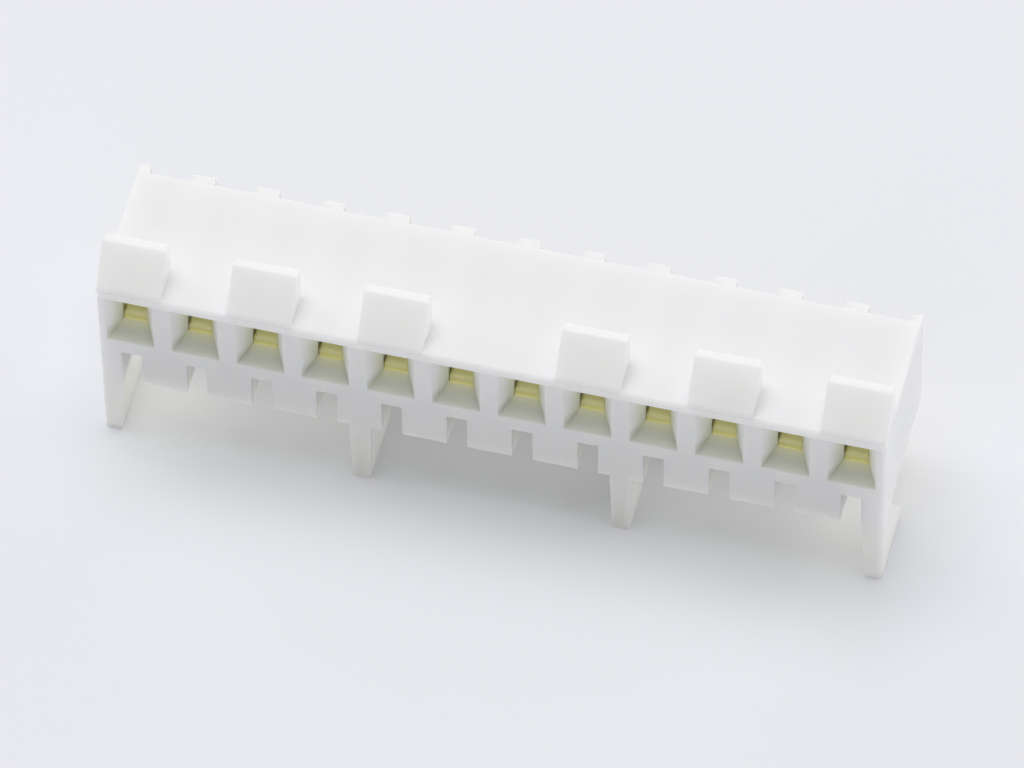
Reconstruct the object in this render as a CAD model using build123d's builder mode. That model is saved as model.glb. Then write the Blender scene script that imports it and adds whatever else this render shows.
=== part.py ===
from build123d import *
import os

# Twelve-way right-angle board socket with a moulded housing and formed spring contacts.
# Millimetres. X runs along the row, Y from the mating face at the front to the rear, Z up.
# The origin is at the middle of the row of solder tails, on the plane where the housing sits on the board.

os.makedirs("parts", exist_ok=True)

# Row
pitch = 3.96
ways = 12
ramp_ways = (1, 3, 5, 8, 10, 12)
inner_leg_boundaries = (4, 8)

# Housing body
body_height = 8.2
body_depth = 9.3
end_edge_radius = 0.35
top_edge_radius = 0.2

# Mouth, funnel and throat of each way
lip = 0.63
mouth_width = 2.9
mouth_height = 3.87
funnel_depth = 1.25
throat_width = 1.47
throat_height = 2.44
throat_below_top = 1.34

# Chamber that holds the contact, open at the rear
chamber_width = 1.7
chamber_roof = 0.9
chamber_floor_below_top = 4.5
chamber_edge_break = 0.35

# Slot that cores out the underside of each way, open to the front and below
slot_width = 1.24
slot_height = 2.63
slot_rear_wall = 1.4

# Locking ramps on the top, flush with the mating face
ramp_width = 3.9
ramp_depth = 1.92
ramp_height = 2.55
ramp_land = 0.6
ramp_edge_radius = 0.15

# Ribs behind the rear wall, one at each boundary between ways
rib_width = 1.4
rib_reach = 0.7
rib_drop = 0.2
rib_edge_radius = 0.2

# Polarising legs under the front, with a toe that reaches to the rear
leg_width = 1.31
leg_tip_width = 1.07
leg_drop = 5.15
leg_root_depth = 1.94
toe_depth = 4.67
toe_height = 1.2
toe_radius = 0.3

# Formed contact
stock = 0.3
contact_width = 1.5
beam_width = 1.25
beam_shoulder_drop = 0.12
nose_gap = 0.18
nose_height = 1.15
bend_radius = 0.45
nose_radius = 0.2
crest_from_nose = 3.4
crest_height = 0.45
beam_length = 5.6
beam_radius = 1.5
beam_end_drop = 0.25
ear_length = 1.2
ear_clearance = 0.02
ear_from_rear = 2.2
shoulder_above_seat = 1.6
tail_width = 0.9
tail_point = 0.7
tail_point_width = 0.45

# Places worked out from the sizes above
length = pitch * ways
rear_wall_y = -stock / 2
front_y = rear_wall_y - body_depth
top_z = body_height
throat_y = front_y + funnel_depth
mouth_z = top_z - lip - mouth_height / 2
throat_z = top_z - throat_below_top - throat_height / 2
chamber_floor_z = top_z - chamber_floor_below_top
chamber_height = chamber_floor_below_top - chamber_roof
leg_tip_z = -leg_drop
first_way_x = -(ways - 1) * pitch / 2

# Cores of one way, cut from the housing in every way
with BuildPart() as way_cores:
    with BuildSketch(Plane.XZ.offset(-front_y)) as mouth:
        with Locations((0, mouth_z)):
            Rectangle(mouth_width, mouth_height)
    with BuildSketch(Plane.XZ.offset(-throat_y)) as throat:
        with Locations((0, throat_z)):
            Rectangle(throat_width, throat_height)
    loft()
    with BuildSketch(Plane.XZ.offset(-throat_y)) as chamber:
        with Locations((0, chamber_floor_z + chamber_height / 2)):
            Rectangle(chamber_width, chamber_height)
    extrude(amount=-(rear_wall_y - throat_y))
    with BuildSketch(Plane.YZ) as edge_break:
        with BuildLine():
            Polyline(
                (rear_wall_y, chamber_floor_z),
                (rear_wall_y, chamber_floor_z - chamber_edge_break),
                (rear_wall_y - chamber_edge_break, chamber_floor_z),
                close=True,
            )
        make_face()
    extrude(amount=chamber_width / 2, both=True)
    with BuildSketch(Plane.XZ.offset(-front_y)) as slot:
        with Locations((0, slot_height / 2)):
            Rectangle(slot_width, slot_height)
    extrude(amount=-(body_depth - slot_rear_wall))

# Locking ramp: a wedge with a narrow land and a steep back
with BuildPart() as ramp:
    with BuildSketch(Plane.YZ) as ramp_side:
        with BuildLine():
            Polyline(
                (front_y, top_z - top_edge_radius),
                (front_y, top_z),
                (front_y + ramp_depth, top_z + ramp_height),
                (front_y + ramp_depth + ramp_land, top_z + ramp_height),
                (front_y + ramp_depth + ramp_land, top_z - top_edge_radius),
                close=True,
            )
        make_face()
    extrude(amount=ramp_width / 2, both=True)
    fillet(ramp.edges().group_by(Axis.Z)[-1], radius=ramp_edge_radius)

# Leg with a toe that reaches to the rear, tapered on both sides
with BuildPart() as middle_leg:
    with BuildSketch(Plane.YZ) as leg_side:
        with BuildLine():
            Polyline(
                (front_y, 0),
                (front_y, leg_tip_z),
                (front_y + toe_depth, leg_tip_z),
                (front_y + toe_depth, leg_tip_z + toe_height),
                (front_y + leg_root_depth, 0),
                close=True,
            )
        make_face()
        fillet(leg_side.vertices().group_by(Axis.X)[-1], radius=toe_radius)
    extrude(amount=leg_width / 2, both=True)
    with BuildSketch(Plane.XZ.offset(-front_y)) as leg_front:
        with BuildLine():
            Polyline(
                (-leg_width / 2, 0),
                (leg_width / 2, 0),
                (leg_tip_width / 2, leg_tip_z),
                (-leg_tip_width / 2, leg_tip_z),
                close=True,
            )
        make_face()
    extrude(amount=-toe_depth, mode=Mode.INTERSECT)

# Leg at the right-hand end, whose outer face is upright and level with the end of the body
with BuildPart() as end_leg:
    with BuildSketch(Plane.YZ.offset(length / 2)):
        add(leg_side.sketch_local)
    extrude(amount=-leg_width)
    with BuildSketch(Plane.XZ.offset(-front_y)):
        with BuildLine():
            Polyline(
                (length / 2 - leg_width, 0),
                (length / 2, 0),
                (length / 2, leg_tip_z),
                (length / 2 - leg_tip_width, leg_tip_z),
                close=True,
            )
        make_face()
    extrude(amount=-toe_depth, mode=Mode.INTERSECT)
    leg_corner = end_leg.edges().filter_by(Axis.Z).group_by(Axis.Y)[0].sort_by(Axis.X)[-1]
    fillet(leg_corner, radius=end_edge_radius)

# Moulded housing
with BuildPart() as housing:
    with BuildSketch(Plane.XY) as footprint:
        with Locations((0, front_y + body_depth / 2)):
            Rectangle(length, body_depth)
    extrude(amount=body_height)
    front_corners = housing.edges().filter_by(Axis.Z).group_by(Axis.Y)[0]
    fillet(front_corners, radius=end_edge_radius)
    fillet(housing.faces().sort_by(Axis.Z)[-1].edges(), radius=top_edge_radius)
    with BuildSketch(Plane.XY) as rib_rows:
        with Locations((0, rear_wall_y + rib_reach / 2)):
            with GridLocations(pitch, 0, ways - 1, 1):
                Rectangle(rib_width, rib_reach)
            for side in (-1, 1):
                with Locations((side * (length - rib_width / 2) / 2, 0)):
                    Rectangle(rib_width / 2, rib_reach)
    extrude(amount=body_height - rib_drop)
    rib_tops = housing.faces().filter_by(Axis.Z).group_by(Axis.Z)[-2]
    fillet(rib_tops.edges().group_by(Axis.Y)[-1], radius=rib_edge_radius)
    with Locations([(first_way_x + (way - 1) * pitch, 0) for way in ramp_ways]):
        add(ramp.part)
    with Locations([(boundary * pitch - length / 2, 0) for boundary in inner_leg_boundaries]):
        add(middle_leg.part)
    add(end_leg.part)
    mirror(end_leg.part, about=Plane.YZ)
    with GridLocations(pitch, 0, ways, 1):
        add(way_cores.part, mode=Mode.SUBTRACT)

housing.part.label = "housing"
export_step(housing.part, "parts/housing.step")

# Formed contact: tail up the rear wall, base along the chamber floor, nose at the throat, spring beam back
nose_y = throat_y + nose_gap + stock / 2
base_mid_z = chamber_floor_z + stock / 2
beam_mid_z = chamber_floor_z + nose_height - stock / 2
shoulder_z = shoulder_above_seat
beam_shoulder_z = chamber_floor_z + nose_height - beam_shoulder_drop
with BuildPart() as contact_form:
    with BuildSketch(Plane.YZ) as contact_side:
        with BuildLine():
            FilletPolyline(
                (0, leg_tip_z),
                (0, base_mid_z),
                (nose_y, base_mid_z),
                (nose_y, beam_mid_z),
                (nose_y + crest_from_nose, beam_mid_z + crest_height),
                (nose_y + beam_length, beam_mid_z - beam_end_drop),
                radius=(bend_radius, nose_radius, nose_radius, beam_radius),
            )
            offset(amount=stock / 2, side=Side.BOTH)
        make_face()
    extrude(amount=contact_width / 2, both=True)
    with BuildSketch(Plane.XZ) as contact_front:
        with BuildLine():
            Polyline(
                (-tail_point_width / 2, leg_tip_z),
                (tail_point_width / 2, leg_tip_z),
                (tail_width / 2, leg_tip_z + tail_point),
                (tail_width / 2, shoulder_z),
                (contact_width / 2, shoulder_z + tail_point),
                (contact_width / 2, beam_shoulder_z),
                (beam_width / 2, beam_shoulder_z),
                (beam_width / 2, top_z),
                (-beam_width / 2, top_z),
                (-beam_width / 2, beam_shoulder_z),
                (-contact_width / 2, beam_shoulder_z),
                (-contact_width / 2, shoulder_z + tail_point),
                (-tail_width / 2, shoulder_z),
                (-tail_width / 2, leg_tip_z + tail_point),
                close=True,
            )
        make_face()
    extrude(amount=body_depth, both=True, mode=Mode.INTERSECT)
    with BuildSketch(Plane.XY.offset(chamber_floor_z)) as ears:
        with Locations((0, rear_wall_y - ear_from_rear)):
            Rectangle(chamber_width - 2 * ear_clearance, ear_length)
    extrude(amount=stock)

for number in range(ways):
    name = f"contact_{number + 1:02d}"
    with BuildPart() as contact:
        with Locations((first_way_x + number * pitch, 0)):
            add(contact_form.part)
    contact.part.label = name
    export_step(contact.part, f"parts/{name}.step")
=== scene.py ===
import math

import bpy
import numpy as np
from mathutils import Matrix, Vector


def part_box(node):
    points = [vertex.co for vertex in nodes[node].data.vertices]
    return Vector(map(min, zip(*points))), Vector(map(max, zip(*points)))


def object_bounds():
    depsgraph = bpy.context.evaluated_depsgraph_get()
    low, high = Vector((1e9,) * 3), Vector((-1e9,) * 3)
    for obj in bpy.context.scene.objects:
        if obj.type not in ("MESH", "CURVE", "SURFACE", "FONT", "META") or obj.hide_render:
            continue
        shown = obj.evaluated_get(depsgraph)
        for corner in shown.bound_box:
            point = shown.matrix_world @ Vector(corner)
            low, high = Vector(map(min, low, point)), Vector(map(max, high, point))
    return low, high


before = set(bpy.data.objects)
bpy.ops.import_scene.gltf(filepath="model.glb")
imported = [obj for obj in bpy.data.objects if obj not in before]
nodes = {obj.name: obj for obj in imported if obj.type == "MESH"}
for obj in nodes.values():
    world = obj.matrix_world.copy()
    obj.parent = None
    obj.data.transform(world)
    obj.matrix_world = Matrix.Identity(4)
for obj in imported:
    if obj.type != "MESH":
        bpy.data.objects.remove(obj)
cad_low, cad_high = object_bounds()
contacts = [nodes[name] for name in sorted(nodes) if name.startswith("contact")]
housing = nodes["housing"]
scene = bpy.context.scene

# Sizes in metres
PITCH = 0.00396
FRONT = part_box("housing")[0].y
TOP = 0.0082
FLOOR = cad_low.z
EDGE_WIDTH = 0.00006
TABLE_LIFT = 0.00004
TABLE_REACH = 1.5
TABLE_POINTS = 5

# Where the colours change, most of them painted light and shade, and where the gold's finish changes:
# the start and the end of each smooth change, in metres
# Heights above the board
LEG_ROOTS = (-0.001, 0.001)
FRONT_FACE_HEIGHTS = (-0.0055, 0.0085)
SLOT_ROOFS = (0.0026, 0.0028)
SILLS = (0.00362, 0.00368)
FUNNEL_FLOOR_TO_WALLS = (0.0041, 0.0049)
MOUTH_TOPS = (TOP - 0.0007, TOP - 0.0006)
LIP_LOWER_EDGE = (TOP - 0.00075, TOP - 0.0005)
LIP_UPPER_EDGE = (TOP - 0.0002, TOP)
RAMP_ROOTS = (TOP, TOP + 0.0004)
# Places from front to rear
FACE_PLANE = (FRONT - 0.0001, FRONT + 0.0001)
BEHIND_FACE = (FRONT + 0.0002, FRONT + 0.0006)
FUNNEL_WALL_DEPTHS = (FRONT + 0.0002, FRONT + 0.0013)
FUNNEL_FLOOR_DEPTHS = (FRONT + 0.0005, FRONT + 0.0014)
SLOT_REARS = (FRONT + 0.0074, FRONT + 0.0078)
NOSE_DEPTHS = (FRONT + 0.0019, FRONT + 0.0032)
# Distances from the middle of a way, and from the middle of the row
MOUTH_SIDES = (0.00142, 0.00147)
END_LEGS = (0.0205, 0.0224)

# Colours of the nylon, the gold and the table, from the darker to the lighter cloud. Only BODY,
# BRIGHT_GOLD and TABLE_WHITE are plain colours of the things; the others are painted light, shade or
# reflection
BODY = ((0.85, 0.851, 0.863), (0.862, 0.863, 0.875))
# Painted shade: the legs darker than the body, warmed by a painted yellow glow of light through the
# thin legs
LEGS_PAINTED_SHADE = ((0.835, 0.837, 0.815), (0.848, 0.85, 0.828))
# Painted light on the ramps for light through them, and a painted highlight along the lip at the top
# front edge
RAMPS_AND_LIP_PAINTED_LIGHT = ((0.985, 0.985, 0.985), (0.995, 0.995, 0.995))
# Painted shade on the lower front face
LOWER_FRONT_PAINTED_SHADE = ((0.74, 0.74, 0.72), (0.755, 0.755, 0.735))
# Painted light in the slots and under the body behind the front face
SLOTS_PAINTED_LIGHT = ((0.965, 0.975, 0.905), (0.98, 0.99, 0.92))
# Painted shade with a painted yellow glow inside the mouths: the funnel walls, then the funnel floor
# at the front and at the rear
FUNNEL_WALLS_PAINTED_SHADE_AND_GLOW = ((0.735, 0.75, 0.62), (0.765, 0.78, 0.65))
FUNNEL_FLOOR_FRONT_PAINTED_SHADE = ((0.675, 0.69, 0.63), (0.695, 0.71, 0.65))
FUNNEL_FLOOR_REAR_PAINTED_SHADE_AND_GLOW = ((0.79, 0.81, 0.61), (0.82, 0.84, 0.64))
BRIGHT_GOLD = ((0.72, 0.58, 0.27), (0.78, 0.65, 0.33))
# Painted reflection: a greyer olive gold on the noses for the dark funnel floor they mirror
NOSE_GOLD_PAINTED_REFLECTION = ((0.685, 0.65, 0.325), (0.745, 0.71, 0.375))
TABLE_WHITE = ((0.86, 0.868, 0.918), (0.866, 0.874, 0.924))

# Outputs of the Texture Coordinate and Light Path nodes, by number
OBJECT_PLACE = 3
CAMERA_RAY = 0
GLOSSY_RAY = 3
TRANSMISSION_RAY = 6


class Shade:
    """One output of a node tree. Arithmetic on it adds Math nodes to the tree."""

    def __init__(self, tree, socket=None):
        self.tree = tree
        self.socket = socket

    def node(self, kind, settings, sockets, out=0):
        """Adds a node: its settings, then the value or link of each named or numbered socket."""
        made = self.tree.nodes.new("ShaderNode" + kind)
        for key, value in settings.items():
            setattr(made, key, value)
        for key, value in sockets.items():
            if isinstance(value, Shade):
                self.tree.links.new(value.socket, made.inputs[key])
            else:
                made.inputs[key].default_value = value
        return Shade(self.tree, made.outputs[out] if made.outputs else None)

    def math(self, operation, *values):
        return self.node("Math", {"operation": operation}, dict(enumerate(values)))

    def __add__(self, other):
        return self.math("ADD", self, other)

    def __sub__(self, other):
        return self.math("SUBTRACT", self, other)

    def __rsub__(self, other):
        return self.math("SUBTRACT", other, self)

    def __mul__(self, other):
        return self.math("MULTIPLY", self, other)

    def __truediv__(self, other):
        return self.math("DIVIDE", self, other)

    __radd__ = __add__
    __rmul__ = __mul__

    def clamp(self):
        return self.math("MINIMUM", self.math("MAXIMUM", self, 0.0), 1.0)

    def step(self, low, high):
        """0 below low, 1 above high, and a smooth change between them."""
        settings = {"interpolation_type": "SMOOTHSTEP"}
        sockets = {"Value": self, "From Min": low, "From Max": high, "To Min": 0.0, "To Max": 1.0}
        return self.node("MapRange", settings, sockets)

    def between(self, low, high):
        """A colour that goes from low to high as this value goes from 0 to 1.

        The Mix node takes its two colours at sockets 6 and 7 and gives its colour at output 2.
        """
        return self.node("Mix", {"data_type": "RGBA"}, {0: self, 6: low, 7: high}, out=2)

    def mottle(self, tones):
        """A colour between the two of a pair, as this value goes from 0 to 1."""
        low, high = tones
        return self.between(colour(*low), colour(*high))

    def part(self, number):
        """The x, y or z of a vector, numbered from 0."""
        return self.node("SeparateXYZ", {}, {"Vector": self}, out=number)

    def noise(self, place, scale, detail=2.0, rough=0.5):
        sockets = {"Vector": place, "Scale": scale, "Detail": detail, "Roughness": rough}
        return self.node("TexNoise", {}, sockets)

    def bump(self, height, strength, distance):
        """A surface normal from a height, for bumps of this strength and distance in metres."""
        sockets = {"Strength": strength, "Distance": distance, "Height": height}
        return self.node("Bump", {}, sockets)


def colour(red, green, blue):
    return (red, green, blue, 1.0)


def finish(name, surface):
    """A material: its surface function gives the sockets of one shader, constants as plain values."""
    material = bpy.data.materials.new(name)
    material.use_nodes = True
    tree = material.node_tree
    tree.nodes.clear()
    start = Shade(tree)
    place = start.node("TexCoord", {}, {}, out=OBJECT_PLACE)
    shader = start.node("BsdfPrincipled", {}, surface(start, place))
    start.node("OutputMaterial", {"target": "ALL"}, {"Surface": shader})
    return material


def inside_mouths(start, across, depth, height):
    """1 behind the front face at each way, from the sill's height to the top of the mouth, else 0.

    That takes in the mouths, the funnels and the chambers, and also the narrow strips of the
    rear wall beside each chamber.
    """
    from_way = start.math("ABSOLUTE", start.math("FRACT", across / PITCH) - 0.5) * PITCH
    heights = height.step(*SILLS) * (1.0 - height.step(*MOUTH_TOPS))
    return depth.step(*FACE_PLANE) * (1.0 - from_way.step(*MOUTH_SIDES)) * heights


def nylon_surface(start, place):
    """Natural moulded nylon: almost even white with faint clouds, fine grain and deep scattering.

    Much of its colour is painted light and shade: painted shade on the legs, the lower front face and
    the funnels, with a painted yellow glow of light through the thin walls on the legs and funnels;
    painted light in the slots, under the body and on the ramps, and a painted highlight along the top
    front edge.
    """
    across, depth, height = (place.part(number) for number in range(3))
    clouds = start.noise(place, scale=140.0, detail=3.0)
    grain = start.noise(place, scale=5200.0, detail=2.0, rough=0.6)
    flow = start.noise(place, scale=900.0, detail=4.0, rough=0.55)
    tone = (clouds * 0.5 + flow * 0.5).clamp()

    facing = 1.0 - depth.step(*BEHIND_FACE)
    middle = 1.0 - start.math("ABSOLUTE", across).step(*END_LEGS)
    # Painted shade: the front face darker towards the bottom, between the end legs
    painted_shade_low_on_front = (1.0 - height.step(*FRONT_FACE_HEIGHTS)) * middle * facing
    # Painted highlight: a band along the top front edge above the mouths
    lip_painted_highlight = height.step(*LIP_LOWER_EDGE) * (1.0 - height.step(*LIP_UPPER_EDGE)) * facing
    # Painted light in the slots and under the body, between the end legs and behind the front face
    painted_light_in_slots = (1.0 - height.step(*SLOT_ROOFS)) * middle * (1.0 - facing)
    painted_light_in_slots = painted_light_in_slots * (1.0 - depth.step(*SLOT_REARS))
    # The ramps and the lip take painted light
    ramps_and_lip_painted_light = (height.step(*RAMP_ROOTS) + lip_painted_highlight).clamp()

    # Painted shade with a yellow glow on the legs, below the housing's underside
    tone_with_painted_leg_shade = height.step(*LEG_ROOTS).between(tone.mottle(LEGS_PAINTED_SHADE), tone.mottle(BODY))
    # Outer tones: the body's own colour with painted shade, painted light and a painted highlight
    # mixed in
    outer_tones_with_painted_light = painted_shade_low_on_front.between(tone_with_painted_leg_shade, tone.mottle(LOWER_FRONT_PAINTED_SHADE))
    outer_tones_with_painted_light = ramps_and_lip_painted_light.between(outer_tones_with_painted_light, tone.mottle(RAMPS_AND_LIP_PAINTED_LIGHT))
    outer_tones_with_painted_light = painted_light_in_slots.between(outer_tones_with_painted_light, tone.mottle(SLOTS_PAINTED_LIGHT))
    # Painted shade and a painted yellow glow on the funnel walls and floors
    wall_shade_and_glow = depth.step(*FUNNEL_WALL_DEPTHS).between(tone_with_painted_leg_shade, tone.mottle(FUNNEL_WALLS_PAINTED_SHADE_AND_GLOW))
    floor_shade_and_glow = depth.step(*FUNNEL_FLOOR_DEPTHS).between(
        tone.mottle(FUNNEL_FLOOR_FRONT_PAINTED_SHADE), tone.mottle(FUNNEL_FLOOR_REAR_PAINTED_SHADE_AND_GLOW)
    )
    mouth_shade_and_glow = height.step(*FUNNEL_FLOOR_TO_WALLS).between(floor_shade_and_glow, wall_shade_and_glow)
    return {
        # Inside the mouths the painted shade and glow, elsewhere the outer tones
        "Base Color": inside_mouths(start, across, depth, height).between(outer_tones_with_painted_light, mouth_shade_and_glow),
        "Roughness": 0.42 + 0.16 * flow,
        "Normal": start.bump(grain * 0.5 + flow * 0.5, strength=0.12, distance=0.00002),
        "IOR": 1.5,
        "Specular IOR Level": 0.3,
        "Subsurface Weight": 1.0,
        "Subsurface Radius": (1.0, 0.97, 0.88),
        "Subsurface Scale": 0.0014,
    }


def gold_surface(start, place):
    """Gold plate over a rolled strip with fine lines along it; duller noses, coloured a greyer olive
    as a painted reflection of the dark funnel floor.
    """
    along = start.node("Mapping", {}, {"Vector": place, "Scale": (9000.0, 500.0, 500.0)})
    lines = start.noise(along, scale=1.0, detail=3.0, rough=0.6)
    haze = start.noise(place, scale=1500.0, detail=3.0)
    nose = 1.0 - place.part(1).step(*NOSE_DEPTHS)
    return {
        # The noses' colour is a painted reflection of the dark funnel floor
        "Base Color": nose.between(haze.mottle(BRIGHT_GOLD), haze.mottle(NOSE_GOLD_PAINTED_REFLECTION)),
        "Roughness": 0.3 + 0.14 * haze + 0.08 * lines + 0.2 * nose,
        "Metallic": 1.0 - 0.65 * nose,
        "Normal": start.bump(lines, strength=0.2, distance=0.000005),
    }


def table_surface(start, place):
    """Matt white board with hardly any sheen."""
    return {
        "Base Color": start.noise(place, scale=3.0, detail=1.0).mottle(TABLE_WHITE),
        "Roughness": 0.9,
        "Specular IOR Level": 0.1,
    }


def soften(piece, width):
    """Small rounded edges: weld corners, join flat triangles, bevel edges over 35 degrees."""
    weld = piece.modifiers.new("weld", "WELD")
    weld.merge_threshold = 2e-7
    flat = piece.modifiers.new("flat", "DECIMATE")
    flat.decimate_type = "DISSOLVE"
    flat.angle_limit = math.radians(1.0)
    edge = piece.modifiers.new("edge", "BEVEL")
    edge.width = width
    edge.segments = 2
    edge.limit_method = "ANGLE"
    edge.angle_limit = math.radians(35.0)
    edge.harden_normals = False


def dress(piece, material):
    piece.data.materials.clear()
    piece.data.materials.append(material)


nylon = finish("moulded nylon", nylon_surface)
gold = finish("gold plated strip", gold_surface)
dress(housing, nylon)
for contact in contacts:
    dress(contact, gold)
soften(housing, EDGE_WIDTH)


def flat_grid(name, low, high, height, count):
    """A level surface: points evenly spaced in x and y between two corners, all at one height."""
    u, v = np.meshgrid(np.linspace(0, 1, count), np.linspace(0, 1, count), indexing="ij")
    x = low[0] + (high[0] - low[0]) * u
    y = low[1] + (high[1] - low[1]) * v
    points = np.stack([x, y, np.full_like(x, height)], -1).reshape(-1, 3)
    index = np.arange(count * count).reshape(count, count)
    corners = [index[:-1, :-1], index[1:, :-1], index[1:, 1:], index[:-1, 1:]]
    faces = np.stack(corners, -1).reshape(-1, 4)
    mesh = bpy.data.meshes.new(name)
    mesh.from_pydata(points.tolist(), [], faces.tolist())
    made = bpy.data.objects.new(name, mesh)
    scene.collection.objects.link(made)
    return made


near_left = (-TABLE_REACH, -TABLE_REACH)
far_right = (TABLE_REACH, TABLE_REACH)
table = flat_grid("table", near_left, far_right, FLOOR + TABLE_LIFT, TABLE_POINTS)
table.data.materials.append(finish("white table", table_surface))


def softbox(name, place, target, size, power, tint=(1.0, 1.0, 1.0)):
    """A lamp with a rectangular face, size wide and deep, that points from its place at the target."""
    lamp = bpy.data.lights.new(name, "AREA")
    lamp.shape = "RECTANGLE"
    lamp.size, lamp.size_y = size
    lamp.energy = power
    lamp.color = tint
    made = bpy.data.objects.new(name, lamp)
    made.location = place
    aim = Vector(target) - Vector(place)
    made.rotation_euler = aim.to_track_quat("-Z", "Y").to_euler()
    scene.collection.objects.link(made)
    return made


# Studio softboxes around the object: place, size of the face, power in watts
for name, place, size, power in (
    ("overhead softbox", (-0.1, 0.1, 0.8), (0.6, 0.6), 3.75),
    ("front softbox", (0.0, -0.64, 0.48), (0.4, 0.4), 0.26),
    ("right softbox", (0.8, 0.3, 0.12), (0.8, 0.4), 2.6),
    ("left softbox", (-0.8, 0.3, 0.25), (0.8, 0.5), 1.4),
):
    softbox(name, place, (0, 0, 0), size, power)

# The light that the thin walls of the moulding let through. First to the table between the legs:
# place along the row, distance behind the front, width, depth, power in watts, spread in degrees
UNDERSIDE = -0.0002
PALE_YELLOW = (1.0, 1.0, 0.86)
WARM_YELLOW = (1.0, 0.98, 0.82)
DEEP_YELLOW = (1.0, 0.98, 0.75)
ROW_WIDTH = 0.047
for name, x, y, wide, deep, power, spread in (
    ("left end", -0.0213, 0.0028, 0.002, 0.005, 3e-5, 120),
    ("left", -0.0146, 0.0028, 0.012, 0.005, 2.5e-5, 80),
    ("middle", 0.0, 0.0028, 0.013, 0.0045, 1e-5, 80),
    ("right", 0.0152, 0.0028, 0.011, 0.005, 1.6e-5, 80),
    ("right end", 0.0213, 0.0028, 0.002, 0.005, 2.4e-5, 120),
    ("right side", 0.0225, 0.0068, 0.002, 0.004, 3e-5, 130),
):
    under = (x, FRONT + y, UNDERSIDE)
    lamp = softbox(name + " glow", under, (x, under[1], -1.0), (wide, deep), power, PALE_YELLOW)
    lamp.data.spread = math.radians(spread)

# Then downwards from the roofs of the chambers and of the mouths, and upwards behind the sills
roof = (0, FRONT + 0.0036, TOP - 0.00092)
softbox("chamber glow", roof, (0, roof[1], -1.0), (ROW_WIDTH, 0.0044), 3e-4, WARM_YELLOW)
over_mouth = (0, FRONT + 0.00065, TOP - 0.00136)
softbox("mouth glow", over_mouth, (0, over_mouth[1], -1.0), (ROW_WIDTH, 0.0011), 4e-5, WARM_YELLOW)
sill = (0, FRONT + 0.00132, TOP - 0.0041)
back_and_up = (0, sill[1] + 1.0, sill[2] + 1.5)
softbox("sill glow", sill, back_and_up, (ROW_WIDTH, 0.0001), 2.5e-5, DEEP_YELLOW)

# Soft light from all round, and a pale background for the camera, reflections and clear pieces
world = bpy.data.worlds.new("studio")
world.use_nodes = True
world.node_tree.nodes.clear()
start = Shade(world.node_tree)
camera_ray = start.node("LightPath", {}, {}, out=CAMERA_RAY)
glossy_ray = start.node("LightPath", {}, {}, out=GLOSSY_RAY)
clear_ray = start.node("LightPath", {}, {}, out=TRANSMISSION_RAY)
seen = start.math("MAXIMUM", camera_ray, start.math("MAXIMUM", glossy_ray, clear_ray))
light = start.node("Background", {}, {"Color": colour(0.985, 0.985, 0.965), "Strength": 0.365})
pale = start.node("Background", {}, {"Color": colour(0.84, 0.85, 0.89), "Strength": 1.0})
both = start.node("MixShader", {}, {0: seen, 1: light, 2: pale})
start.node("OutputWorld", {}, {"Surface": both})
scene.world = world
scene.view_settings.view_transform = "Standard"

# Camera: far off with a long lens, turned by yaw from the front and looking down at elevation.
# The focal length is in pixels of the picture, the scale in pixels for each pitch, and the shift,
# in pitches, puts the middle of the front face's upper edge where the photograph has it.
PICTURE_WIDTH = 1024
SENSOR_WIDTH = 36.0
YAW = math.radians(15.1)
ELEVATION = math.radians(53.23)
ROLL = math.radians(-1.067)
FOCAL = 10000.0
SCALE = 68.04
SHIFT = (-0.3536, 0.2366)
side = Vector((math.cos(YAW), math.sin(YAW), 0))
ahead = Vector(
    (
        -math.sin(YAW) * math.cos(ELEVATION),
        math.cos(YAW) * math.cos(ELEVATION),
        -math.sin(ELEVATION),
    )
)
above = side.cross(ahead)
level = math.cos(ROLL) * side + math.sin(ROLL) * above
upright = -math.sin(ROLL) * side + math.cos(ROLL) * above
middle_of_front_edge = Vector((0, FRONT, TOP))
stand = ahead * (-FOCAL / SCALE) - level * SHIFT[0] - upright * SHIFT[1]
lens = bpy.data.cameras.new("camera")
lens.sensor_width = SENSOR_WIDTH
lens.lens = FOCAL / PICTURE_WIDTH * SENSOR_WIDTH
lens.clip_start = 0.05
lens.clip_end = 10.0
camera = bpy.data.objects.new("camera", lens)
camera.matrix_world = Matrix.Translation(middle_of_front_edge + stand * PITCH) @ Matrix(
    (level, upright, -ahead)
).transposed().to_4x4()
scene.collection.objects.link(camera)
scene.camera = camera
